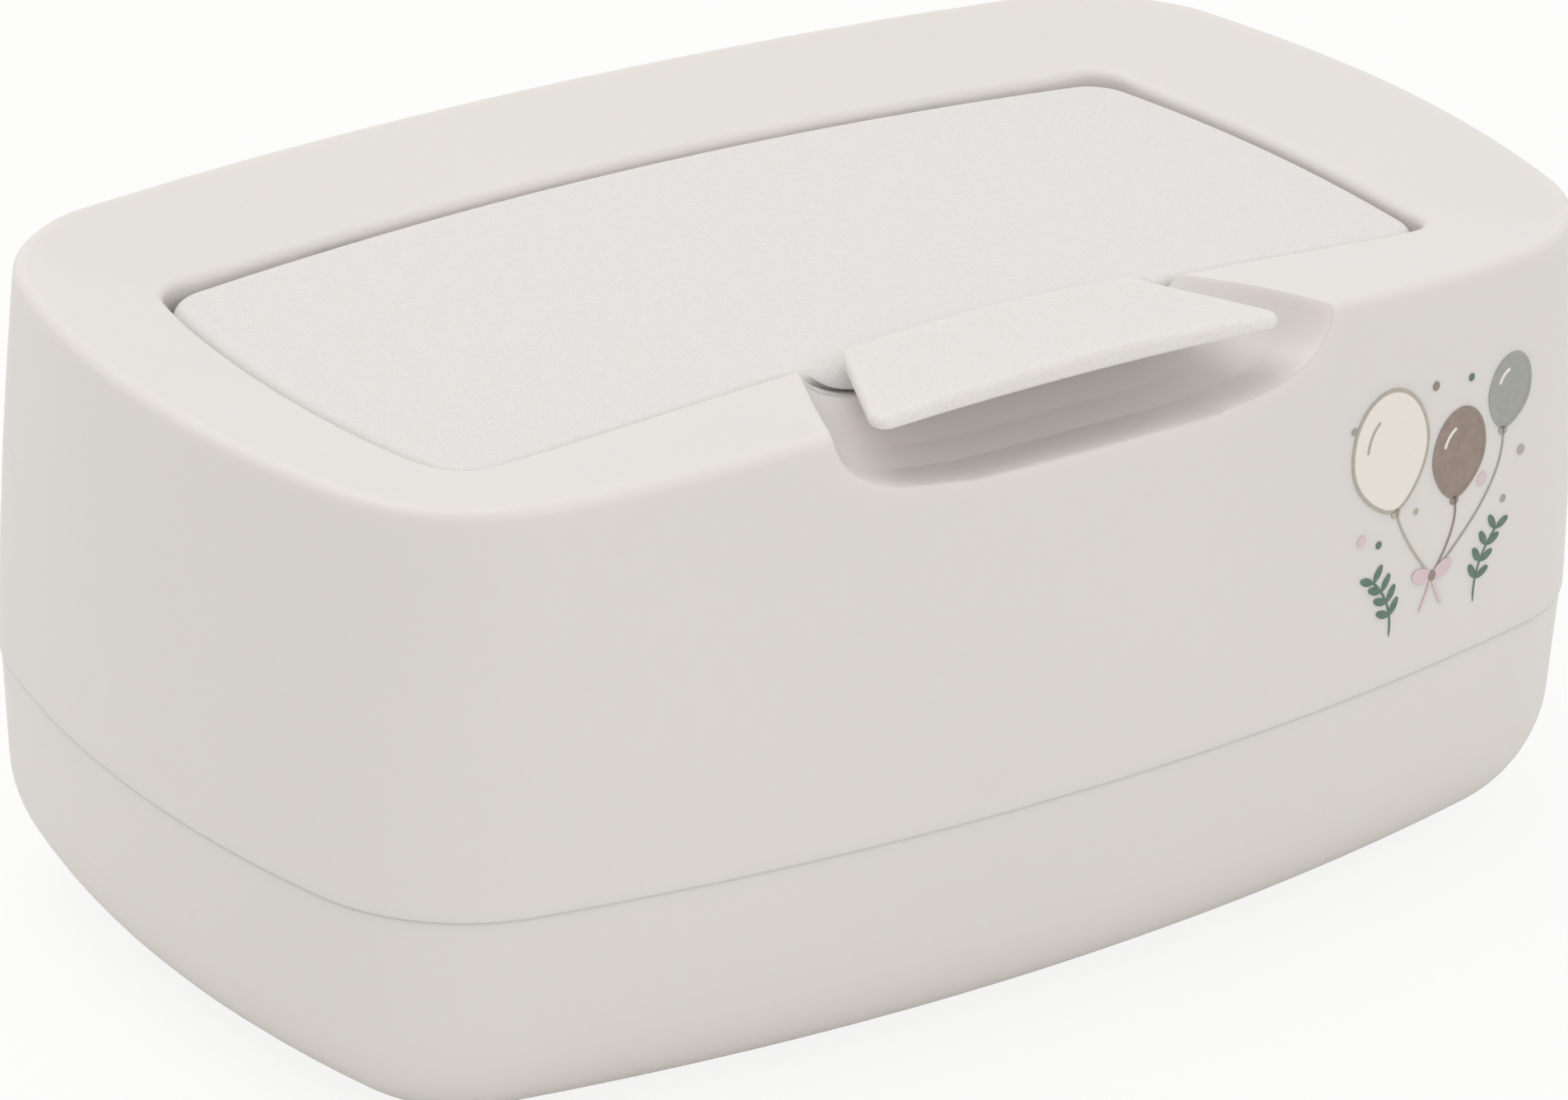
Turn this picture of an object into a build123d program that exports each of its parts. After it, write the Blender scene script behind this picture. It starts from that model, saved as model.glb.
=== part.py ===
from build123d import *
import math
import os

# Baby wipes box: a shallow tub, a tall casing that lifts off it, and a hinged lid with a lift tab.
# Millimetres. +Z up, the front with the lift tab faces -Y, the length runs along X.
# The origin is in the middle of the face that the box stands on.

os.makedirs("parts", exist_ok=True)

# Plan of the box at the parting line between the tub and the casing.
half_length = 112.0
half_width = 70.8
long_side_bow = 426.0
short_side_bow = 181.0
plan_corner = 27.0

# Heights.
pad_proud = 0.8
parting_height = 37.8
rim_height = 96.05
rim_rise_to_back = 0.004

# Tub.
tub_wall = 2.2
tub_step_in = 0.3
tub_draft = 0.0487
foot_round = 21.6
tub_floor = 2.2

# Casing walls. From the parting line to the rim the walls lean in by these amounts.
casing_wall = 2.2
casing_height = rim_height - parting_height
end_lean = 1.77
side_lean = 3.26
lean_power = 1.75
long_side_straightening = 55.7
short_side_tightening = 24.0
rim_softness = 5.0
rim_round = 1.4
seam_round = 0.4
core_inset = 1.5

# Plug lip of the casing, which drops into the tub.
lip_depth = 6.8
lip_wall = 1.6
lip_clearance = 0.25
lip_web_height = 4.5

# Opening for the lid, inside the rim, and the ledge that its seal closes on.
rim_end_width = 24.45
rim_side_width = 26.65
opening_half_length = half_length - rim_end_width
opening_half_width = half_width - rim_side_width
opening_long_bow = 693.3
opening_short_bow = 213.5
opening_corner = 6.5
opening_shift = 0.43
opening_round = 1.4
rebate_wall = 1.8
seat_below_rim = 4.65
seat_height = rim_height - seat_below_rim
ledge_below_seat = 9.4
ledge_top = seat_height - ledge_below_seat
ledge_thickness = 2.0
ledge_width = 11.0
ledge_corner = 10.0

# Crest of the rim, the high line that the dished top falls inwards from.
crest_end_inset = 4.0
crest_side_inset = 5.6
crest_long_bow = 467.5
crest_short_bow = 147.3
crest_corner = 26.0

# Arched seat of the lid, which rises to the middle of the front.
seat_tilt = 0.0175
arch_rise = 4.15
arch_growth = 0.0593
arch_end_inset = 2.55
arch_half_length = opening_half_length - arch_end_inset

# Swell of the rim over the notch in the middle of the front.
swell_rise = 4.7
swell_half_length = 100.0
swell_run = 45.0

# Notch and finger scoop in the front of the casing.
notch_half_width = 34.9
notch_back = opening_half_width + rebate_wall
notch_front = half_width + 3.0
notch_flare = 0.42
notch_top = rim_height + 10.0
scoop_steps = 3
throat_back = opening_half_width - 4.0
sill_rise = 4.5
scoop_radius = 60.0
scoop_low_inset = 10.8
scoop_low_point = half_width - scoop_low_inset
scoop_below_seat = 4.1
scoop_floor = seat_height - scoop_below_seat

# Lid.
lid_gap = 1.0
lid_drop = 0.8
lid_panel = 2.4
lid_skirt_depth = 5.0
lid_skirt_wall = 2.0
lid_edge_round = 2.0
lid_corner = 7.4
nose_past_opening = 0.85
nose_front = opening_half_width + nose_past_opening
nose_depth = 7.0
nose_step = 0.04
nose_gap = 0.6

# Seal, a ring pushed over a rib under the lid.
seal_inset = 8.0
seal_corner = 11.0
seal_width = 4.2
seal_height = 3.5
seal_gap = 0.3
seal_round = 1.2
seal_play = 0.05
rib_thickness = 1.6
rib_in_seal = 1.8

# Hinge at the back, under the rim.
hinge_behind_opening = 10.35
hinge_y = opening_half_width + hinge_behind_opening
hinge_below_seat = 4.4
hinge_z = seat_height - hinge_below_seat
pin_radius = 1.5
pin_chamfer = 0.3
pin_clearance = 0.05
hub_radius = 3.4
arm_end_inset = 35.55
arm_station = opening_half_length - arm_end_inset
arm_width = 6.0
arm_inner_radius = 13.6
arm_thickness = 2.6
arm_start = 158.0
arm_end = 296.0
spoke_width = 3.0
ear_thickness = 3.0
ear_clearance = 0.4
ear_radius = 4.0
arm_slot_clearance = 0.8
arm_slot_front = opening_half_width - 6.25
arm_slot_back = opening_half_width + rebate_wall
arm_slot_over_axis = 2.2

# Lift tab.
tab_over_nose = 2.7
tab_back = nose_front - tab_over_nose
tab_behind_wall = 5.9
tab_front = half_width - tab_behind_wall
tab_back_half_width = 24.6
tab_front_half_width = 35.8
tab_over_lid = 1.8
tab_thickness = 3.1
tab_tilt = 2.45
tab_top_arch = 307.0
tab_bottom_arch = 670.0
tab_plan_corner = 2.4
tab_edge_round = 1.0
tongue_half_width = 14.0
tongue_thickness = 1.5
tongue_under_tab = 1.3
tongue_in_nose = 5.8
tongue_reach = nose_front - tongue_in_nose
tongue_leg = 2.0
tongue_leg_gap = 0.3
tongue_play = 0.05

# Non-slip pads in recesses under the tub.
pad_radius = 7.0
pad_play = 0.1
pad_round = 0.6
pad_recess = 1.8
pad_boss_wall = 1.6
pad_end_inset = 46.0
pad_side_inset = 42.8
pad_station_x = half_length - pad_end_inset
pad_station_y = half_width - pad_side_inset

# Height above which blanks are cut off.
over_top = 130.0


def plan_points(length, width, long_bow, short_bow, corner):
    """Centre of the first corner arc, and the angles at which it meets the long and short sides."""
    long_centre = Vector(0, width - long_bow)
    short_centre = Vector(length - short_bow, 0)
    span = (short_centre - long_centre).length
    to_long = long_bow - corner
    to_short = short_bow - corner
    along = (to_long**2 - to_short**2 + span**2) / (2 * span)
    across = math.sqrt(to_long**2 - along**2)
    direction = (short_centre - long_centre) / span
    normal = Vector(direction.Y, -direction.X)
    centre = long_centre + direction * along + normal * across
    long_angle = math.degrees(math.atan2(centre.Y - long_centre.Y, centre.X))
    short_angle = math.degrees(math.atan2(centre.Y, centre.X - short_centre.X))
    return centre, long_angle, short_angle


def plan_face(plan, height, inset=0.0, shift=0.0):
    """Bowed rectangle with rounded corners, drawn inwards by inset, at a height."""
    length, width, long_bow, short_bow, corner = [size - inset for size in plan]
    centre, long_angle, short_angle = plan_points(length, width, long_bow, short_bow, corner)
    long_sweep = 2 * long_angle - 180
    corner_sweep = short_angle - long_angle
    with BuildSketch(Plane((0, shift, height))) as sketch:
        with BuildLine():
            CenterArc((0, width - long_bow), long_bow, 180 - long_angle, long_sweep)
            CenterArc((centre.X, centre.Y), corner, long_angle, corner_sweep)
            CenterArc((length - short_bow, 0), short_bow, short_angle, -2 * short_angle)
            CenterArc((centre.X, -centre.Y), corner, -short_angle, corner_sweep)
            CenterArc((0, long_bow - width), long_bow, -long_angle, long_sweep)
            CenterArc((-centre.X, -centre.Y), corner, 180 + long_angle, corner_sweep)
            CenterArc((short_bow - length, 0), short_bow, 180 + short_angle, -2 * short_angle)
            CenterArc((-centre.X, centre.Y), corner, 180 - short_angle, corner_sweep)
        make_face()
    return sketch.sketch


def plan_distance(plan, x, y):
    """Distance of a point outside a plan's bowed sides, negative inside, softened at the corners."""
    length, width, long_bow, short_bow, _ = plan
    x, y = math.hypot(x, rim_softness), math.hypot(y, rim_softness)
    past_long = math.hypot(x, y - width + long_bow) - long_bow
    past_short = math.hypot(x - length + short_bow, y) - short_bow
    lead = abs(past_long - past_short)
    return max(past_long, past_short) + rim_softness * math.log1p(math.exp(-lead / rim_softness))


box_plan = (half_length, half_width, long_side_bow, short_side_bow, plan_corner)
opening_plan = (
    opening_half_length,
    opening_half_width,
    opening_long_bow,
    opening_short_bow,
    opening_corner,
)
crest_plan = (
    half_length - crest_end_inset,
    half_width - crest_side_inset,
    crest_long_bow,
    crest_short_bow,
    crest_corner,
)


def opening_inset(inset, corner):
    """Plan inside the opening's, drawn in by inset, with a corner radius of its own."""
    return tuple(size - inset for size in opening_plan[:4]) + (corner,)


lid_plan = opening_inset(lid_gap, lid_corner)
ledge_plan = opening_inset(ledge_width, ledge_corner)
seal_plan = opening_inset(seal_inset, seal_corner)


def seat_surface(x, y):
    """Height of the opening's edge: tilted up to the front and arched along the length."""
    arch = math.cos(math.pi * x / (2 * arch_half_length))
    return seat_height - seat_tilt * y + (arch_rise - arch_growth * y) * arch


def crest_surface(x, y):
    """Height of the rim's crest: level, with a swell over the middle of the front."""
    along = math.cos(math.pi * min(abs(x) / swell_half_length, 1.0) / 2) ** 2
    reach = min(max(-y / swell_run, 0.0), 1.0)
    return rim_height + rim_rise_to_back * y + swell_rise * along * reach**2 * (3 - 2 * reach)


def rim_surface(x, y):
    """Height of the dished rim, which falls from the crest to the opening's edge."""
    from_opening = plan_distance(opening_plan, x, y - opening_shift)
    to_crest = -plan_distance(crest_plan, x, y)
    if from_opening < 0:
        from_opening = ledge_width * math.tanh(from_opening / ledge_width)
    share = from_opening / (from_opening + to_crest)
    return seat_surface(x, y) * (1 - share) + crest_surface(x, y) * share


def lid_surface(x, y):
    """Height of the lid's top, a little below the opening's edge."""
    return seat_surface(x, y) - lid_drop


def surface_face(surface, drop=0.0, step=10, margin=15):
    """Smooth face through a grid of heights that covers the box, moved down by drop."""
    columns = math.ceil((half_length + margin) / step)
    rows = math.ceil((half_width + margin) / step)
    grid = [
        [(x * step, y * step, surface(x * step, y * step) - drop) for x in range(-columns, columns + 1)]
        for y in range(-rows, rows + 1)
    ]
    return Face.make_surface_from_array_of_points(grid, tol=0.01)


def casing_plan(height):
    """Plan of the casing's outside at a height: the walls lean in towards the rim."""
    rise = (height - parting_height) / casing_height
    lean = max(rise, 0.0) ** lean_power
    return (
        half_length - end_lean * lean,
        half_width - side_lean * lean,
        long_side_bow + long_side_straightening * rise,
        short_side_bow - short_side_tightening * rise,
        plan_corner + rise,
    )


casing_levels = [parting_height + casing_height * rise for rise in (0.0, 0.5, 1.0, 1.2)]


def casing_volume(inset, drop, bottom):
    """Solid of the casing's outside, drawn in by inset and cut off below the rim's top by drop."""
    levels = [bottom] + casing_levels[1:]
    with BuildPart() as volume:
        loft(sections=[plan_face(casing_plan(level), level, inset) for level in levels])
        extrude(surface_face(rim_surface, drop), amount=over_top, dir=(0, 0, 1), mode=Mode.SUBTRACT)
    return volume.part


def ring(plan, bottom, top, outer_inset, inner_inset, shift=0.0):
    """Upright ring between two insets of a plan."""
    with BuildPart() as band:
        extrude(plan_face(plan, bottom, outer_inset, shift), amount=top - bottom)
        extrude(plan_face(plan, bottom, inner_inset, shift), amount=top - bottom, mode=Mode.SUBTRACT)
    return band.part


# Base tub: drafted walls, a large round all round the foot, recesses for the pads.
tub_bottom = pad_proud
tub_height = parting_height - tub_bottom
tub_foot_inset = tub_step_in + tub_draft * tub_height
with BuildPart() as base_tub:
    loft(
        sections=[
            plan_face(box_plan, tub_bottom, tub_foot_inset),
            plan_face(box_plan, parting_height, tub_step_in),
        ],
        ruled=True,
    )
    fillet(base_tub.faces().sort_by(Axis.Z)[0].edges(), radius=foot_round)
    fillet(base_tub.faces().sort_by(Axis.Z)[-1].edges(), radius=seam_round)
    with BuildPart(mode=Mode.PRIVATE) as tub_hollow:
        loft(
            sections=[
                plan_face(box_plan, tub_bottom + tub_floor, tub_foot_inset + tub_wall),
                plan_face(box_plan, parting_height, tub_step_in + tub_wall),
            ],
            ruled=True,
        )
        fillet(tub_hollow.faces().sort_by(Axis.Z)[0].edges(), radius=foot_round - tub_wall)
    add(tub_hollow.part, mode=Mode.SUBTRACT)
    with BuildSketch(Plane.XY.offset(tub_bottom + tub_floor / 2)):
        with GridLocations(2 * pad_station_x, 2 * pad_station_y, 2, 2):
            Circle(pad_radius + pad_boss_wall)
    extrude(amount=tub_floor / 2 + pad_recess)
    with BuildSketch(Plane.XY.offset(tub_bottom)):
        with GridLocations(2 * pad_station_x, 2 * pad_station_y, 2, 2):
            Circle(pad_radius)
    extrude(amount=pad_recess, mode=Mode.SUBTRACT)


# Notch and scoop: one flared channel with round lower corners, level under the nose and hollow in front.
def notch_side(y):
    """Half the width of the notch at a distance in front of the middle."""
    return notch_half_width + notch_flare * (y - notch_back)


def channel_floor(y):
    """Height of the channel's floor at a distance in front of the middle."""
    fall = min(max((y - notch_back) / (scoop_low_point - notch_back), 0.0), 1.0)
    lip = max(y - scoop_low_point, 0.0)
    return scoop_floor + sill_rise * (1 + math.cos(math.pi * fall)) / 2 + lip**2 / (2 * scoop_radius)


def channel_section(y, gap):
    """Right half of the channel's section, a quarter of a fourth-order ellipse, drawn inwards by a gap."""
    width = notch_side(y) - gap
    depth = notch_top - channel_floor(y) - gap
    turns = [math.radians(15 * step) for step in range(1, 6)]
    points = [
        (width * math.sqrt(math.cos(turn)), notch_top - depth * math.sqrt(math.sin(turn)))
        for turn in turns
    ]
    with BuildSketch(Plane((0, -y, 0), x_dir=(1, 0, 0), z_dir=(0, -1, 0))) as section:
        with BuildLine():
            bowl = Spline(
                (width, notch_top), *points, (0, notch_top - depth), tangents=[(0, -1), (-1, 0)]
            )
            Line(bowl @ 1, (0, notch_top))
            Line((0, notch_top), bowl @ 0)
        make_face()
    return section.sketch


def channel_volume(back, gap):
    """Channel of the notch and scoop from a distance in front of the middle, drawn inwards by a gap."""
    slope = [
        notch_back + (scoop_low_point - notch_back) * step / scoop_steps for step in range(scoop_steps + 1)
    ]
    with BuildPart() as channel:
        loft(sections=[channel_section(y, gap) for y in (back, *slope, notch_front)], ruled=True)
        mirror(about=Plane.YZ)
    return channel.part


notch = channel_volume(throat_back, 0.0)

# Upper casing. Its inner features are made first and cut to the inside of its walls.
hinge_sides = (-1, 1)
lip_inset = tub_step_in + tub_wall + tub_draft * lip_depth + lip_clearance
ledge_bottom = ledge_top - ledge_thickness
with BuildPart() as inner_features:
    # Wall of the lid's opening, and the ledge that the seal closes on.
    add(ring(opening_plan, ledge_bottom, over_top, -rebate_wall, 0.0, opening_shift))
    with BuildSketch(Plane.XY.offset(ledge_bottom)):
        add(plan_face(opening_plan, ledge_bottom, -rebate_wall / 2, opening_shift))
        add(plan_face(ledge_plan, ledge_bottom, 0.0, opening_shift), mode=Mode.SUBTRACT)
    extrude(amount=ledge_thickness)
    # Backing of the notch and scoop.
    add(channel_volume(notch_back - rebate_wall / 2, -casing_wall))
    # Ears for the hinge pins.
    for side in hinge_sides:
        for ear in (-1, 1):
            with BuildSketch(Plane.YZ.offset(side * arm_station + ear * (arm_width / 2 + ear_clearance))):
                with Locations((hinge_y, hinge_z)):
                    Circle(ear_radius)
                    Rectangle(2 * ear_radius, over_top - hinge_z, align=(Align.CENTER, Align.MIN))
            extrude(amount=ear * ear_thickness)
    # Web that carries the plug lip.
    add(ring(box_plan, parting_height, parting_height + lip_web_height, core_inset, lip_inset + lip_wall))
    add(casing_volume(core_inset, core_inset, parting_height), mode=Mode.INTERSECT)
    add(notch, mode=Mode.SUBTRACT)

lip_bottom = parting_height - lip_depth
lip_top = parting_height + casing_wall
with BuildPart() as upper_casing:
    add(casing_volume(0.0, 0.0, parting_height))
    fillet(upper_casing.faces().sort_by(Axis.Z)[-1].outer_wire().edges(), radius=rim_round)
    fillet(upper_casing.faces().sort_by(Axis.Z)[0].edges(), radius=seam_round)
    extrude(
        plan_face(opening_plan, ledge_top, 0.0, opening_shift),
        amount=over_top - ledge_top,
        mode=Mode.SUBTRACT,
    )
    rim_top = upper_casing.faces().filter_by(lambda face: len(face.inner_wires()) > 0)[0]
    fillet(rim_top.inner_wires()[0].edges(), radius=opening_round)
    add(notch, mode=Mode.SUBTRACT)
    add(casing_volume(casing_wall, casing_wall, parting_height - casing_wall), mode=Mode.SUBTRACT)
    add(inner_features.part)
    add(ring(box_plan, lip_bottom, lip_top, lip_inset, lip_inset + lip_wall))
    for side in hinge_sides:
        # Slot that the curved arm swings through.
        with BuildSketch(Plane.XY.offset(ledge_bottom - ledge_thickness)):
            with Locations((side * arm_station, (arm_slot_front + arm_slot_back) / 2)):
                Rectangle(arm_width + 2 * arm_slot_clearance, arm_slot_back - arm_slot_front)
        extrude(amount=hinge_z + arm_slot_over_axis - ledge_bottom + ledge_thickness, mode=Mode.SUBTRACT)
        # Bore for the pin through both ears.
        with BuildSketch(Plane.YZ.offset(side * arm_station)):
            with Locations((hinge_y, hinge_z)):
                Circle(pin_radius)
        extrude(amount=arm_width / 2 + ear_clearance + ear_thickness, both=True, mode=Mode.SUBTRACT)


# Hinge pins, pressed into the ears.
def hinge_pin(side):
    """Steel pin as long as the two ears and the gap between them."""
    with BuildPart() as pin:
        with BuildSketch(Plane.YZ.offset(side * arm_station)):
            with Locations((hinge_y, hinge_z)):
                Circle(pin_radius)
        extrude(amount=arm_width / 2 + ear_clearance + ear_thickness, both=True)
        chamfer(pin.edges().filter_by(GeomType.CIRCLE), length=pin_chamfer)
    return pin.part


# Nose of the lid, which rolls down in the throat of the notch. It is turned about an axis far below,
# so that it follows the arch of the lid's top.
nose_back = nose_front - nose_depth
nose_half_width = notch_side(nose_front) - nose_gap
nose_top = lid_surface(0, -nose_back) - nose_step
nose_rise = math.atan((lid_surface(0, -nose_front) - lid_surface(0, -nose_back)) / nose_depth)
nose_round = nose_depth / (1 + math.sin(nose_rise))
nose_drop = lid_surface(0, -nose_back) - lid_surface(nose_half_width, -nose_back)
nose_arch = nose_half_width**2 / (2 * nose_drop) + nose_drop / 2
with BuildPart() as nose:
    with BuildSketch(Plane.YZ):
        with BuildLine():
            roll = JernArc(
                start=(-nose_back, nose_top),
                tangent=(-math.cos(nose_rise), math.sin(nose_rise)),
                radius=nose_round,
                arc_size=90 + math.degrees(nose_rise),
            )
            Line(roll @ 1, (-nose_front, ledge_top))
            Line((-nose_front, ledge_top), (-nose_back, ledge_top))
            Line((-nose_back, ledge_top), roll @ 0)
        make_face()
    revolve(axis=Axis((0, 0, nose_top - nose_arch), (0, 1, 0)), revolution_arc=45)
    mirror(about=Plane.YZ)
    add(channel_volume(nose_back, nose_gap), mode=Mode.INTERSECT)

# Rib for the seal and curved hinge arms, trimmed to the thickness of the lid's panel.
rib_bottom = ledge_top + seal_gap + seal_height - rib_in_seal
arm_outer_radius = arm_inner_radius + arm_thickness
arm_middle_radius = arm_inner_radius + arm_thickness / 2
spoke_angle = arm_end - math.degrees(spoke_width / 2 / arm_middle_radius)
with BuildPart() as lid_underside:
    add(ring(seal_plan, rib_bottom, over_top, -rib_thickness / 2, rib_thickness / 2, opening_shift))
    for side in hinge_sides:
        with BuildSketch(Plane.YZ.offset(side * arm_station)):
            with BuildLine():
                outer = CenterArc((hinge_y, hinge_z), arm_outer_radius, arm_start, arm_end - arm_start)
                inner = CenterArc((hinge_y, hinge_z), arm_inner_radius, arm_start, arm_end - arm_start)
                Line(outer @ 0, inner @ 0)
                Line(outer @ 1, inner @ 1)
            make_face()
            with Locations((hinge_y, hinge_z)):
                Rectangle(
                    arm_middle_radius,
                    spoke_width,
                    rotation=spoke_angle,
                    align=(Align.MIN, Align.CENTER),
                )
                Circle(hub_radius)
                Circle(pin_radius + pin_clearance, mode=Mode.SUBTRACT)
        extrude(amount=arm_width / 2, both=True)
    extrude(
        surface_face(lid_surface, lid_panel / 2), amount=over_top, dir=(0, 0, 1), mode=Mode.SUBTRACT
    )

# Flip lid: arched panel with a skirt that ends in a flat edge.
skirt_bottom = seat_height - lid_drop - lid_skirt_depth
tongue_top = lid_surface(0, -nose_front) + tab_over_lid - tab_thickness - tongue_under_tab
with BuildPart() as flip_lid:
    extrude(plan_face(lid_plan, skirt_bottom, 0.0, opening_shift), amount=over_top - skirt_bottom)
    extrude(surface_face(lid_surface), amount=over_top, dir=(0, 0, 1), mode=Mode.SUBTRACT)
    fillet(flip_lid.faces().sort_by(Axis.Z)[-1].edges(), radius=lid_edge_round)
    with BuildPart(mode=Mode.PRIVATE) as lid_hollow:
        extrude(
            plan_face(lid_plan, skirt_bottom, lid_skirt_wall, opening_shift),
            amount=over_top - skirt_bottom,
        )
        extrude(
            surface_face(lid_surface, lid_panel), amount=over_top, dir=(0, 0, 1), mode=Mode.SUBTRACT
        )
    add(lid_hollow.part, mode=Mode.SUBTRACT)
    # The front edge gives way to the nose over the width of the notch.
    add(channel_volume(nose_back, nose_gap + nose_step), mode=Mode.SUBTRACT)
    add(nose.part)
    add(lid_underside.part)
    # Slot in the nose for the tongue of the lift tab.
    with BuildSketch(Plane.XY.offset(tongue_top - tongue_thickness - tongue_play)):
        with Locations((0, -nose_front)):
            Rectangle(
                2 * (tongue_half_width + tongue_play),
                nose_front - nose_back,
                align=(Align.CENTER, Align.MIN),
            )
    extrude(amount=tongue_thickness + 2 * tongue_play, mode=Mode.SUBTRACT)

# Seal, grooved to fit the rib.
with BuildPart() as lid_seal:
    seal_bottom = ledge_top + seal_gap
    seal_top = seal_bottom + seal_height
    add(ring(seal_plan, seal_bottom, seal_top, -seal_width / 2, seal_width / 2, opening_shift))
    fillet(lid_seal.faces().sort_by(Axis.Z)[0].edges(), radius=seal_round)
    groove = rib_thickness / 2 + seal_play
    add(ring(seal_plan, rib_bottom, over_top, -groove, groove, opening_shift), mode=Mode.SUBTRACT)

# Lift tab: a flared plate, arched along its width and tilted up to the front, with a tongue.
tab_middle_top = lid_surface(0, -tab_back) + tab_over_lid
with BuildPart() as lift_tab:
    tilt = math.radians(tab_tilt)
    profile_plane = Plane(
        origin=(0, -tab_back, tab_middle_top),
        x_dir=(1, 0, 0),
        z_dir=(0, -math.cos(tilt), math.sin(tilt)),
    )
    reach = tab_front_half_width + tab_edge_round
    top_drop = reach**2 / (2 * tab_top_arch)
    bottom_drop = reach**2 / (2 * tab_bottom_arch)
    with BuildSketch(profile_plane.offset(-tab_thickness)):
        with BuildLine():
            ThreePointArc((-reach, -top_drop), (0, 0), (reach, -top_drop))
            Line((reach, -top_drop), (reach, -tab_thickness - bottom_drop))
            ThreePointArc(
                (reach, -tab_thickness - bottom_drop),
                (0, -tab_thickness),
                (-reach, -tab_thickness - bottom_drop),
            )
            Line((-reach, -tab_thickness - bottom_drop), (-reach, -top_drop))
        make_face()
    extrude(amount=2 * tab_front)
    with BuildSketch(Plane.XY.offset(ledge_top)) as tab_plan:
        with BuildLine():
            Polyline(
                (-tab_back_half_width, -tab_back),
                (tab_back_half_width, -tab_back),
                (tab_front_half_width, -tab_front),
                (-tab_front_half_width, -tab_front),
                close=True,
            )
        make_face()
        fillet(tab_plan.vertices(), radius=tab_plan_corner)
    extrude(amount=over_top - ledge_top, mode=Mode.INTERSECT)
    plate_faces = lift_tab.faces().sort_by(SortBy.AREA)[-2:]
    fillet(plate_faces.edges(), radius=tab_edge_round)
    leg_back = nose_front + tongue_leg_gap
    with BuildSketch(Plane.XY.offset(tongue_top - tongue_thickness)):
        with Locations((0, -leg_back - tongue_leg)):
            Rectangle(
                2 * tongue_half_width,
                leg_back + tongue_leg - tongue_reach,
                align=(Align.CENTER, Align.MIN),
            )
    extrude(amount=tongue_thickness)
    with BuildSketch(Plane.XY.offset(tongue_top - tongue_thickness)):
        with Locations((0, -leg_back - tongue_leg)):
            Rectangle(2 * tongue_half_width, tongue_leg, align=(Align.CENTER, Align.MIN))
    extrude(amount=tongue_thickness + tongue_under_tab + tab_thickness / 2)


# Non-slip pads in the recesses under the tub.
def foot_pad(side, end):
    """Soft disc with a rounded lower edge, standing a little proud of the tub."""
    with BuildPart() as pad:
        with BuildSketch():
            with Locations((side * pad_station_x, end * pad_station_y)):
                Circle(pad_radius - pad_play)
        extrude(amount=pad_proud + pad_recess)
        fillet(pad.faces().sort_by(Axis.Z)[0].edges(), radius=pad_round)
    return pad.part


nodes = {
    "base_tub": base_tub.part,
    "upper_casing": upper_casing.part,
    "flip_lid": flip_lid.part,
    "lift_tab": lift_tab.part,
    "lid_seal": lid_seal.part,
}
for side, side_name in zip(hinge_sides, ("left", "right")):
    nodes["hinge_pin_" + side_name] = hinge_pin(side)
    for end, end_name in zip((-1, 1), ("front", "rear")):
        nodes["foot_pad_" + end_name + "_" + side_name] = foot_pad(side, end)

for name, piece in nodes.items():
    piece.label = name
    export_step(piece, "parts/" + name + ".step")
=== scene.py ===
import math

import bmesh
import bpy
from mathutils import Matrix, Vector
from mathutils.bvhtree import BVHTree


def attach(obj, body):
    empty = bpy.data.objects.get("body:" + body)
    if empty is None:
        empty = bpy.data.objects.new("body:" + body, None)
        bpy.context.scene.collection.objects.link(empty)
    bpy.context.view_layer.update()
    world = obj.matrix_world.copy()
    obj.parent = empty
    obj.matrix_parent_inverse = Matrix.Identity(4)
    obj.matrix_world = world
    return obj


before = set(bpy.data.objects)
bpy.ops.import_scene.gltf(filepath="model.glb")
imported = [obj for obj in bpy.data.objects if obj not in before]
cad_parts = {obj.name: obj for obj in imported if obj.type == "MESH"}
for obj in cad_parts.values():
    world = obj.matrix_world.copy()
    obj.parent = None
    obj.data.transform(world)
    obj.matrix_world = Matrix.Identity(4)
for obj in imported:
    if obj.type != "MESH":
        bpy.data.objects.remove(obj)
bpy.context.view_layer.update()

# Studio: the box stands on a pale floor that runs out of view, as in a shop's product picture.
# The camera looks down on its front left from about a metre, through a long lens.
scene = bpy.context.scene
scene.view_settings.view_transform = "Standard"

millimetre = 0.001
view_turn = math.radians(-36.08)
view_height = math.radians(24.65)
view_roll = math.radians(1.774)
view_distance = 1015.4 * millimetre
aim_height = 50 * millimetre
aim_right = 4.35 * millimetre
aim_up = 3.49 * millimetre
photo_width, photo_height = 1905, 1336
focal_pixels = 8532.8
optical_centre = (931.5, 669.1)

back = Vector((
    math.sin(view_turn) * math.cos(view_height),
    -math.cos(view_turn) * math.cos(view_height),
    math.sin(view_height),
))
level_right = Vector((math.cos(view_turn), math.sin(view_turn), 0))
level_up = back.cross(level_right)
right = level_right * math.cos(view_roll) + level_up * math.sin(view_roll)
up = level_up * math.cos(view_roll) - level_right * math.sin(view_roll)
stand = Vector((0, 0, aim_height)) + back * view_distance - right * aim_right - up * aim_up
camera_data = bpy.data.cameras.new("product_camera")
camera_data.sensor_width = 36
camera_data.lens = camera_data.sensor_width * focal_pixels / photo_width
camera_data.shift_x = (photo_width / 2 - optical_centre[0]) / photo_width
camera_data.shift_y = (optical_centre[1] - photo_height / 2) / photo_width
camera_data.clip_start = 0.05
camera_data.clip_end = 20
camera = bpy.data.objects.new("product_camera", camera_data)
camera.matrix_world = Matrix.Translation(stand) @ Matrix((right, up, back)).transposed().to_4x4()
scene.collection.objects.link(camera)
scene.camera = camera


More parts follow.
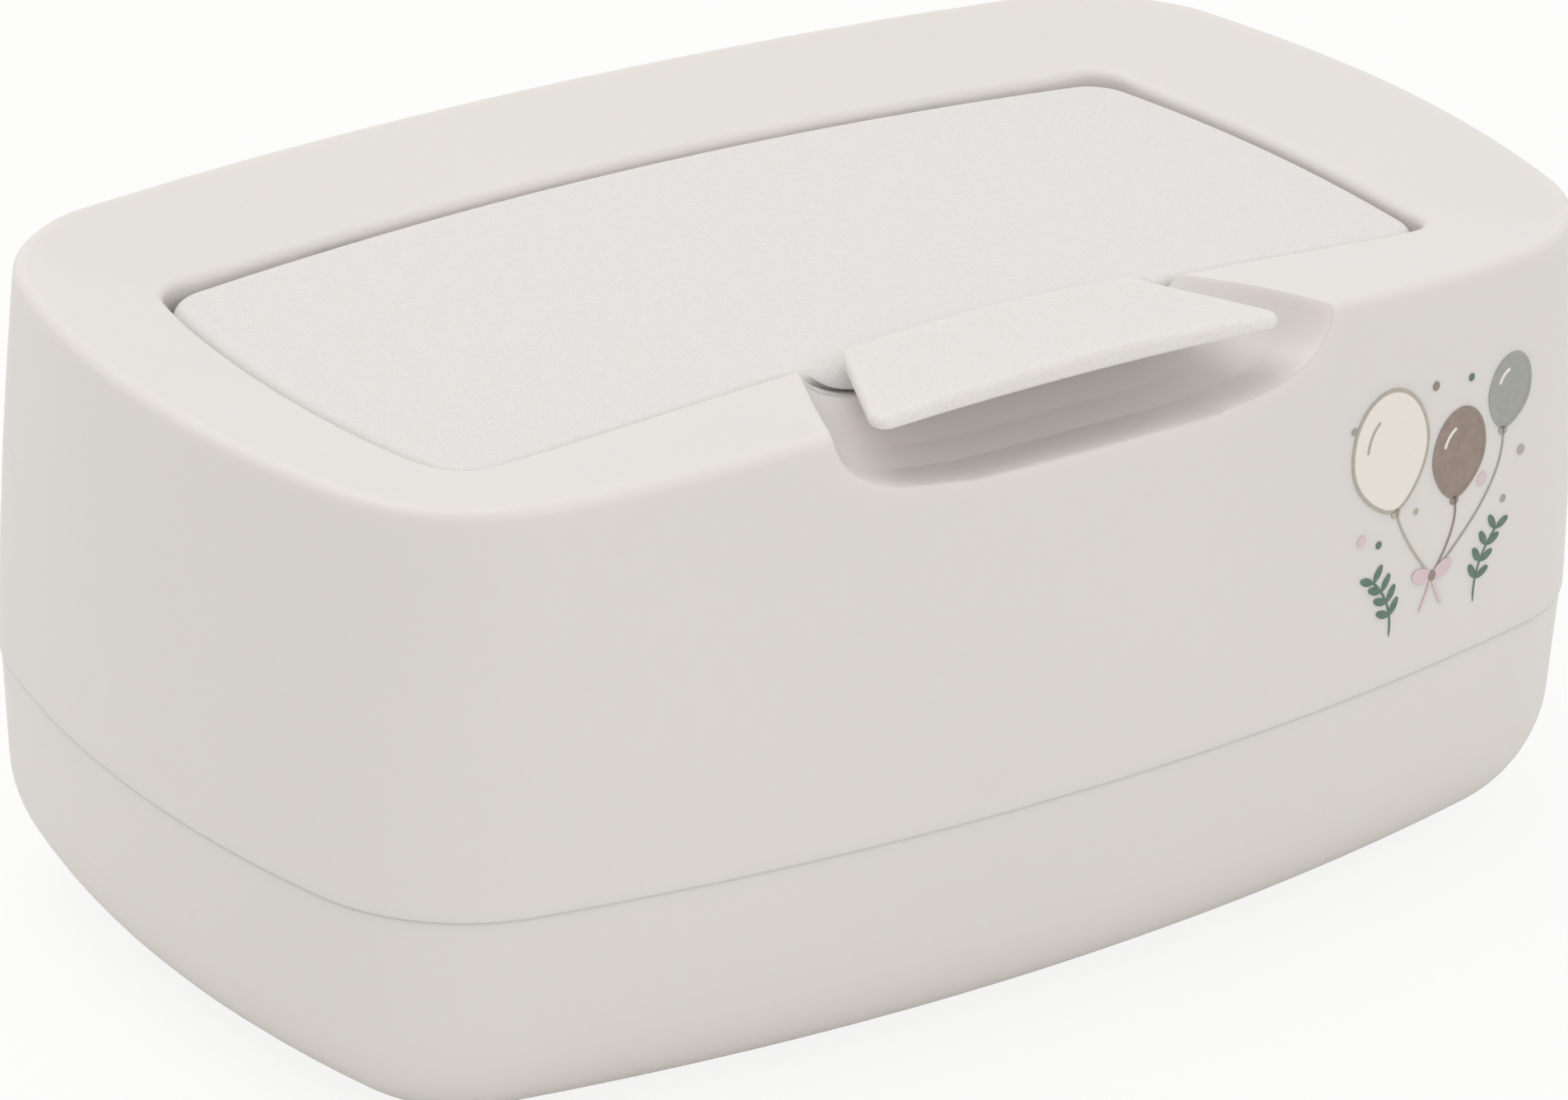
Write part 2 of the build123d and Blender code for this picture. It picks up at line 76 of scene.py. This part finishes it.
def linear(hex_code):
    """sRGB hex colour as linear values, opaque."""
    values = [int(hex_code[start:start + 2], 16) / 255 for start in (1, 3, 5)]
    return [c / 12.92 if c <= 0.04045 else ((c + 0.055) / 1.055) ** 2.4 for c in values] + [1.0]


def add_node(tree, kind, settings=None, **inputs):
    """Adds a node, sets its own settings, and sets or links each input, by name or as _number."""
    node = tree.nodes.new(kind)
    for name, value in (settings or {}).items():
        setattr(node, name, value)
    for name, value in inputs.items():
        key = int(name[1:]) if name[0] == "_" else name.replace("_", " ")
        if isinstance(value, bpy.types.NodeSocket):
            tree.links.new(value, node.inputs[key])
        else:
            node.inputs[key].default_value = value
    return node


def new_material(name):
    """Material with an empty node tree, and its place on the piece."""
    material = bpy.data.materials.new(name)
    material.use_nodes = True
    tree = material.node_tree
    tree.nodes.clear()
    return material, tree, add_node(tree, "ShaderNodeTexCoord").outputs["Object"]


def area_lamp(name, spot, target, size, power, colour):
    """Square soft box at a spot, facing a target."""
    lamp = bpy.data.lights.new(name, "AREA")
    lamp.shape = "SQUARE"
    lamp.size = size
    lamp.energy = power
    lamp.color = linear(colour)[:3]
    holder = bpy.data.objects.new(name, lamp)
    facing = (Vector(target) - Vector(spot)).to_track_quat("-Z", "Y").to_matrix().to_4x4()
    holder.matrix_world = Matrix.Translation(spot) @ facing
    scene.collection.objects.link(holder)


floor_half = 6.0
floor_corners = [(-1, -1), (1, -1), (1, 1), (-1, 1)]
floor_mesh = bpy.data.meshes.new("studio_floor")
floor_mesh.from_pydata([(x * floor_half, y * floor_half, 0) for x, y in floor_corners], [], [(0, 1, 2, 3)])
floor = bpy.data.objects.new("studio_floor", floor_mesh)
scene.collection.objects.link(floor)
# Matt backdrop paper. The camera sees it as nearly pure white, with a faint shadow kept.
paper_whiteness = 0.86
paper, tree, place = new_material("matt_backdrop_paper")
seen = add_node(tree, "ShaderNodeLightPath").outputs["Is Camera Ray"]
whiteness = add_node(
    tree, "ShaderNodeMath", {"operation": "MULTIPLY"}, _0=seen, _1=paper_whiteness
).outputs[0]
matt_paper = add_node(tree, "ShaderNodeBsdfDiffuse", Color=linear("#F6F5F3")).outputs[0]
white_paper = add_node(tree, "ShaderNodeEmission", Color=linear("#FFFFFF"), Strength=1.0).outputs[0]
surface = add_node(tree, "ShaderNodeMixShader", _0=whiteness, _1=matt_paper, _2=white_paper)
add_node(tree, "ShaderNodeOutputMaterial", Surface=surface.outputs[0])
floor_mesh.materials.append(paper)

sky_strength = 0.71
world = bpy.data.worlds.new("studio_light")
scene.world = world
world.use_nodes = True
tree = world.node_tree
tree.nodes.clear()
rays = add_node(tree, "ShaderNodeLightPath").outputs
ambient = add_node(
    tree, "ShaderNodeBackground", Color=linear("#FFFFFF"), Strength=sky_strength
).outputs[0]
backdrop = add_node(tree, "ShaderNodeBackground", Color=linear("#FFFFFF"), Strength=1.0).outputs[0]
direct = add_node(
    tree, "ShaderNodeMath", {"operation": "MAXIMUM"}, _0=rays["Is Camera Ray"], _1=rays["Is Glossy Ray"]
).outputs[0]
mixed = add_node(tree, "ShaderNodeMixShader", _0=direct, _1=ambient, _2=backdrop).outputs[0]
add_node(tree, "ShaderNodeOutputWorld", Surface=mixed)

box_middle = (0, 0, 0.05)
area_lamp(
    "overhead_soft_box", spot=(-0.25, 0.35, 1.5), target=box_middle, size=1.3, power=6.5, colour="#FFFDFA"
)
area_lamp("front_fill", spot=(0.1, -1.9, 0.6), target=box_middle, size=1.2, power=4, colour="#FFFCF8")

# Casing and tub: two injection mouldings in off-white polypropylene, which lets a little light in and
# glows warm in the shadows. The tool is polished, so the walls are satin, with hairline scuffs. The
# shading of the edges is rounded a little, as a moulding's edges are.
cloud_size = 45 * millimetre
scuff_length = 15 * millimetre
scuff_spacing = 0.7 * millimetre
scuff_slope = math.radians(24)
scuff_patch = 28 * millimetre
skin_grain = 0.6 * millimetre
edge_round = 0.7 * millimetre
# Light goes this deep into the plastic, red the deepest, and this share of it scatters inside.
glow_depth = 3.0 * millimetre
glow_by_colour = (1.0, 0.72, 0.6)
glow_share = 0.55
satin, tree, place = new_material("satin_moulded_polypropylene")
cloud = add_node(tree, "ShaderNodeTexNoise", Vector=place, Scale=1 / cloud_size, Detail=2)
tone = add_node(
    tree,
    "ShaderNodeMix",
    {"data_type": "RGBA"},
    _0=cloud.outputs["Fac"],
    _6=linear("#E5E1DD"),
    _7=linear("#EAE4E0"),
)
# Scuffs lie in patches of a few centimetres, where other things rubbed along the wall.
turned = add_node(
    tree,
    "ShaderNodeMapping",
    Vector=place,
    Rotation=(0, scuff_slope, 0),
    Scale=[1 / size for size in (scuff_length, scuff_length, scuff_spacing)],
)
lines = add_node(tree, "ShaderNodeTexNoise", Vector=turned.outputs[0], Scale=1.0, Detail=1)
thin = add_node(tree, "ShaderNodeMapRange", Value=lines.outputs["Fac"], From_Min=0.66, From_Max=0.74)
patches = add_node(tree, "ShaderNodeTexNoise", Vector=place, Scale=1 / scuff_patch, Detail=1)
where = add_node(tree, "ShaderNodeMapRange", Value=patches.outputs["Fac"], From_Min=0.5, From_Max=0.62)
scuff = add_node(
    tree, "ShaderNodeMath", {"operation": "MULTIPLY"}, _0=thin.outputs[0], _1=where.outputs[0]
).outputs[0]
rough = add_node(tree, "ShaderNodeMapRange", Value=scuff, To_Min=0.36, To_Max=0.62).outputs[0]
# The skin of the moulding: the plastic's flow left it uneven, only just enough to see.
grain = add_node(tree, "ShaderNodeTexNoise", Vector=place, Scale=1 / skin_grain, Detail=3)
relief = add_node(
    tree, "ShaderNodeMath", {"operation": "SUBTRACT"}, _0=grain.outputs["Fac"], _1=scuff
).outputs[0]
edges = add_node(tree, "ShaderNodeBevel", {"samples": 3}, Radius=edge_round).outputs[0]
bump = add_node(
    tree, "ShaderNodeBump", Strength=0.14, Distance=0.02 * millimetre, Height=relief, Normal=edges
)
shader = add_node(
    tree,
    "ShaderNodeBsdfPrincipled",
    Base_Color=tone.outputs[2],
    Roughness=rough,
    IOR=1.49,
    Subsurface_Weight=glow_share,
    Subsurface_Radius=glow_by_colour,
    Subsurface_Scale=glow_depth,
    Normal=bump.outputs[0],
)
add_node(tree, "ShaderNodeOutputMaterial", Surface=shader.outputs[0])
for node in ("upper_casing", "base_tub"):
    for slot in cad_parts[node].material_slots:
        slot.material = satin

# Lid and lift tab: the same polypropylene from a spark-eroded tool, which leaves a fine matt grain
# that sparkles a little. The tab is a moulding of its own, plugged into the lid's nose.
# The real grain is about 0.12 mm; it is drawn coarser so that it shows at the picture's size.
spark_grain = 0.4 * millimetre
matt, tree, place = new_material("spark_eroded_matt_polypropylene")
grain = add_node(tree, "ShaderNodeTexNoise", Vector=place, Scale=1 / spark_grain, Detail=4)
# The tone is painted shade of the grain: darker down in its pits and lighter on its tops, from the same
# noise that raises the bump.
painted_pit_shade = add_node(tree, "ShaderNodeMapRange", Value=grain.outputs["Fac"], From_Min=0.32, From_Max=0.68)
tone = add_node(
    tree,
    "ShaderNodeMix",
    {"data_type": "RGBA"},
    _0=painted_pit_shade.outputs[0],
    _6=linear("#E2DFDC"),
    _7=linear("#EBE8E5"),
)
speckle = add_node(tree, "ShaderNodeMapRange", Value=grain.outputs["Fac"], To_Min=0.35, To_Max=0.85)
bump = add_node(
    tree, "ShaderNodeBump", Strength=0.7, Distance=0.05 * millimetre, Height=grain.outputs["Fac"]
)
shader = add_node(
    tree,
    "ShaderNodeBsdfPrincipled",
    Base_Color=tone.outputs[2],
    Roughness=speckle.outputs[0],
    IOR=1.49,
    Subsurface_Weight=glow_share,
    Subsurface_Radius=glow_by_colour,
    Subsurface_Scale=glow_depth,
    Normal=bump.outputs[0],
)
add_node(tree, "ShaderNodeOutputMaterial", Surface=shader.outputs[0])
for node in ("flip_lid", "lift_tab"):
    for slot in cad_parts[node].material_slots:
        slot.material = matt

# Seal: a ring of translucent white silicone, pressed and cured, pushed over the rib under the lid.
# It has the soft sheen of silicone and a faint bloom.
bloom_size = 6 * millimetre
silicone, tree, place = new_material("cured_translucent_silicone")
bloom = add_node(tree, "ShaderNodeTexNoise", Vector=place, Scale=1 / bloom_size, Detail=3)
tone = add_node(
    tree,
    "ShaderNodeMix",
    {"data_type": "RGBA"},
    _0=bloom.outputs["Fac"],
    _6=linear("#D9D9D6"),
    _7=linear("#E9E8E6"),
)
rough = add_node(tree, "ShaderNodeMapRange", Value=bloom.outputs["Fac"], To_Min=0.35, To_Max=0.6)
shader = add_node(
    tree,
    "ShaderNodeBsdfPrincipled",
    Base_Color=tone.outputs[2],
    Roughness=rough.outputs[0],
    IOR=1.41,
    Subsurface_Weight=0.7,
    Subsurface_Radius=(1.0, 0.95, 0.9),
    Subsurface_Scale=2.0 * millimetre,
)
add_node(tree, "ShaderNodeOutputMaterial", Surface=shader.outputs[0])
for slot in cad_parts["lid_seal"].material_slots:
    slot.material = silicone

# Hinge pins: drawn stainless steel wire, cut and chamfered, pressed into the casing's ears.
# Drawing leaves fine lines along the pin.
drawn_line_length = 8 * millimetre
drawn_line_width = 0.15 * millimetre
drawn, tree, place = new_material("drawn_stainless_steel")
along = add_node(
    tree,
    "ShaderNodeMapping",
    Vector=place,
    Scale=[1 / size for size in (drawn_line_length, drawn_line_width, drawn_line_width)],
)
lines = add_node(tree, "ShaderNodeTexNoise", Vector=along.outputs[0], Scale=1.0, Detail=3)
tone = add_node(
    tree,
    "ShaderNodeMix",
    {"data_type": "RGBA"},
    _0=lines.outputs["Fac"],
    _6=linear("#B4B4B2"),
    _7=linear("#CBCAC7"),
)
rough = add_node(tree, "ShaderNodeMapRange", Value=lines.outputs["Fac"], To_Min=0.22, To_Max=0.4)
bump = add_node(
    tree, "ShaderNodeBump", Strength=0.2, Distance=0.01 * millimetre, Height=lines.outputs["Fac"]
)
shader = add_node(
    tree,
    "ShaderNodeBsdfPrincipled",
    Base_Color=tone.outputs[2],
    Metallic=1.0,
    Roughness=rough.outputs[0],
    Normal=bump.outputs[0],
)
add_node(tree, "ShaderNodeOutputMaterial", Surface=shader.outputs[0])
for node in ("hinge_pin_left", "hinge_pin_right"):
    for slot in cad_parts[node].material_slots:
        slot.material = drawn

# Foot pads: four moulded discs of soft grey thermoplastic elastomer, glued into recesses under the
# tub. The rubbery skin is dull and picks up dust.
dust_size = 2.5 * millimetre
rubber_grain = 0.4 * millimetre
elastomer, tree, place = new_material("moulded_grey_elastomer")
dust = add_node(tree, "ShaderNodeTexNoise", Vector=place, Scale=1 / dust_size, Detail=4)
tone = add_node(
    tree,
    "ShaderNodeMix",
    {"data_type": "RGBA"},
    _0=dust.outputs["Fac"],
    _6=linear("#85857F"),
    _7=linear("#9C9B96"),
)
skin = add_node(tree, "ShaderNodeTexNoise", Vector=place, Scale=1 / rubber_grain, Detail=2)
bump = add_node(
    tree, "ShaderNodeBump", Strength=0.4, Distance=0.05 * millimetre, Height=skin.outputs["Fac"]
)
rough = add_node(tree, "ShaderNodeMapRange", Value=dust.outputs["Fac"], To_Min=0.7, To_Max=0.9)
shader = add_node(
    tree,
    "ShaderNodeBsdfPrincipled",
    Base_Color=tone.outputs[2],
    Roughness=rough.outputs[0],
    IOR=1.5,
    Normal=bump.outputs[0],
)
add_node(tree, "ShaderNodeOutputMaterial", Surface=shader.outputs[0])
for end in ("front", "rear"):
    for side in ("left", "right"):
        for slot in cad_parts["foot_pad_" + end + "_" + side].material_slots:
            slot.material = elastomer

# Print on the right of the front wall: balloons, leaves and dots in six pad-printed inks. Each ink
# is a film a few hundredths of a millimetre thick that follows the bowed wall.
casing_shape = bmesh.new()
casing_shape.from_mesh(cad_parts["upper_casing"].data)
wall = BVHTree.FromBMesh(casing_shape)
# Each layer of ink stands ink_lift off the one under it. Places on the print are in millimetres,
# across and up, and print_shift then moves them all across.
ink_lift = 0.06 * millimetre
ink_thickness = 0.045 * millimetre
stroke_width = 0.55 * millimetre
string_width = stroke_width * 0.7
print_shift = -2.5
inks = {
    "taupe": "#B3AA9C",
    "brown": "#8C776B",
    "grey": "#9C9D97",
    "pink": "#DDC5C9",
    "green": "#3C664F",
    "cream": "#F0EBE2",
}
films = {ink: ([], []) for ink in inks}


def on_wall(x, z, lift):
    """Point on the front wall at a place on the print, in millimetres, lifted off the wall."""
    in_front = Vector(((x + print_shift) * millimetre, -0.2, z * millimetre))
    spot = wall.ray_cast(in_front, Vector((0, 1, 0)))[0]
    return spot - Vector((0, ink_lift * lift, 0))


def stroke(ink, points, width=stroke_width, lift=1):
    """Ribbon of ink along points, with ends that taper over a few points when it is open."""
    blunt_end, taper_points = 0.35, 3
    closed = points[0] == points[-1]
    path = [Vector(point) for point in points]
    verts, faces = films[ink]
    first = len(verts)
    for number, point in enumerate(path):
        ahead = path[number + 1] if number + 1 < len(path) else path[1] if closed else point
        behind = path[number - 1] if number > 0 else path[-2] if closed else point
        run = (ahead - behind).normalized()
        reach = min(number, len(path) - 1 - number) / taper_points
        half = width / millimetre / 2 * (1 if closed else min(1, blunt_end + reach))
        for side in (-1, 1):
            edge = point + Vector((-run.y, run.x)) * half * side
            verts.append(on_wall(edge.x, edge.y, lift))
    for number in range(len(path) - 1):
        start = first + 2 * number
        faces.append((start, start + 2, start + 3, start + 1))


def blot(ink, centre, radii, turn=0, pinch=0.0, lift=1):
    """Filled oval of ink, turned by degrees and drawn to a point at its lower end by pinch."""
    verts, faces = films[ink]
    first = len(verts)
    rings, sectors = 5, 40
    turn = math.radians(turn)
    verts.append(on_wall(centre[0], centre[1], lift))
    for ring in range(1, rings + 1):
        for sector in range(sectors):
            angle = 2 * math.pi * sector / sectors
            slim = 1 - pinch * max(0, -math.sin(angle)) ** 2
            x = radii[0] * ring / rings * math.cos(angle) * slim
            z = radii[1] * ring / rings * math.sin(angle)
            verts.append(
                on_wall(
                    centre[0] + x * math.cos(turn) - z * math.sin(turn),
                    centre[1] + x * math.sin(turn) + z * math.cos(turn),
                    lift,
                )
            )
    for sector in range(sectors):
        following = (sector + 1) % sectors
        faces.append((first, first + 1 + sector, first + 1 + following))
        for ring in range(rings - 1):
            inner = first + 1 + ring * sectors
            outer = inner + sectors
            faces.append((inner + sector, outer + sector, outer + following, inner + following))


def oval(centre, radii, turn=0, pinch=0.0, start=0, sweep=360):
    """Points along the edge of an oval like a blot's."""
    turn = math.radians(turn)
    steps = 48
    points = []
    for step in range(steps + 1):
        angle = math.radians(start + sweep * step / steps)
        slim = 1 - pinch * max(0, -math.sin(angle)) ** 2
        x, z = radii[0] * math.cos(angle) * slim, radii[1] * math.sin(angle)
        points.append((
            centre[0] + x * math.cos(turn) - z * math.sin(turn),
            centre[1] + x * math.sin(turn) + z * math.cos(turn),
        ))
    if sweep == 360:
        points[-1] = points[0]
    return points


def curve(start, pull, end):
    """Points of a curved line between two points, bent towards a third."""
    steps = 24
    points = []
    for step in range(steps + 1):
        t = step / steps
        points.append(tuple(
            (1 - t) ** 2 * a + 2 * t * (1 - t) * b + t * t * c for a, b, c in zip(start, pull, end)
        ))
    return points


# Balloons: middle, radii, tilt, fill and outline.
knot = (66.5, 52.5)
balloons = [
    ((57.0, 74.0), (7.6, 9.2), 8, "cream", "taupe"),
    ((71.3, 70.0), (5.4, 6.6), -6, "brown", "brown"),
    ((82.0, 76.5), (4.4, 5.4), -14, "grey", "grey"),
]
shine_size = 0.62
for middle, radii, tilt, fill, line in balloons:
    blot(fill, middle, radii, tilt, pinch=0.3)
    stroke(line, oval(middle, radii, tilt, pinch=0.3), lift=1.5)
    shine_radii = (radii[0] * shine_size, radii[1] * shine_size)
    shine = oval(middle, shine_radii, tilt, start=110, sweep=55)
    stroke("cream" if fill != "cream" else "taupe", shine, lift=1.5)
    lean = math.radians(tilt)
    tail = (middle[0] + radii[1] * math.sin(lean), middle[1] - radii[1] * math.cos(lean))
    blot(line, (tail[0], tail[1] - 0.5), (0.9, 0.7), tilt, lift=1.5)
    bend = (tail[0] + 1.5, (tail[1] + knot[1]) / 2 + 1)
    stroke(line, curve(tail, bend, knot), width=string_width, lift=1.5)

# Bow at the knot and dots around the balloons.
for side in (-1, 1):
    blot("pink", (knot[0] + side * 2.2, knot[1] + 0.5), (2.1, 1.2), side * 20, lift=2)
    ribbon = curve(knot, (knot[0] + side, knot[1] - 3), (knot[0] + side * 2.4, knot[1] - 5))
    stroke("pink", ribbon, lift=2)
blot("brown", knot, (0.8, 0.8), lift=2.5)
dots = [
    ("pink", 51.5, 62.0, 0.9), ("grey", 49.5, 79.0, 0.6), ("brown", 66.0, 81.5, 0.7),
    ("green", 73.5, 80.8, 0.6), ("taupe", 85.0, 66.5, 0.8), ("pink", 76.5, 64.5, 1.0),
    ("green", 55.0, 60.5, 0.6), ("grey", 81.5, 60.0, 0.6), ("taupe", 62.5, 63.5, 0.5),
]
for ink, x, z, size in dots:
    blot(ink, (x, z), (size, size))

# Sprigs: a stem with pairs of leaves, leaning out to each side.
leaf_radii = (0.62, 1.45)
leaf_reach = 1.5
for side, root, height in ((-1, (58.0, 45.5), 10.0), (1, (76.0, 45.5), 11.0)):
    tip = (root[0] + side * height * 0.45, root[1] + height)
    stem = curve(root, (root[0] - side * 0.6, root[1] + height * 0.6), tip)
    stroke("green", stem, width=string_width)
    for step in (7, 12, 17, 22):
        for leaf_side in (-1, 1):
            x, z = stem[step]
            slant = -leaf_side * 50 - side * 18
            away = math.radians(slant)
            middle = (x - math.sin(away) * leaf_reach, z + math.cos(away) * leaf_reach)
            blot("green", middle, leaf_radii, slant, pinch=0.4, lift=1.2)

# Pad-printing ink: a dull film, a little uneven in density, so it is paler in places.
ink_patch = 1.2 * millimetre
ink_paling = 0.16
for ink, colour in inks.items():
    printed, tree, place = new_material("pad_printed_" + ink + "_ink")
    density = add_node(tree, "ShaderNodeTexNoise", Vector=place, Scale=1 / ink_patch, Detail=3)
    thin_ink = [value + (1 - value) * ink_paling for value in linear(colour)[:3]] + [1]
    tone = add_node(
        tree,
        "ShaderNodeMix",
        {"data_type": "RGBA"},
        _0=density.outputs["Fac"],
        _6=linear(colour),
        _7=thin_ink,
    )
    rough = add_node(tree, "ShaderNodeMapRange", Value=density.outputs["Fac"], To_Min=0.45, To_Max=0.65)
    shader = add_node(
        tree,
        "ShaderNodeBsdfPrincipled",
        Base_Color=tone.outputs[2],
        Roughness=rough.outputs[0],
        IOR=1.5,
    )
    add_node(tree, "ShaderNodeOutputMaterial", Surface=shader.outputs[0])
    film_mesh = bpy.data.meshes.new("front_print_" + ink)
    film_mesh.from_pydata(films[ink][0], [], films[ink][1])
    film_shape = bmesh.new()
    film_shape.from_mesh(film_mesh)
    for face in film_shape.faces:
        if face.normal.y > 0:
            face.normal_flip()
    film_shape.to_mesh(film_mesh)
    film_shape.free()
    film = bpy.data.objects.new("front_print_" + ink, film_mesh)
    scene.collection.objects.link(film)
    thickness = film.modifiers.new("film", "SOLIDIFY")
    thickness.thickness = ink_thickness
    thickness.offset = -1
    finished = film.evaluated_get(bpy.context.evaluated_depsgraph_get())
    solid_mesh = bpy.data.meshes.new_from_object(finished)
    film.modifiers.clear()
    film.data = solid_mesh
    film.data.materials.clear()
    film.data.materials.append(printed)
    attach(film, "casing")
casing_shape.free()
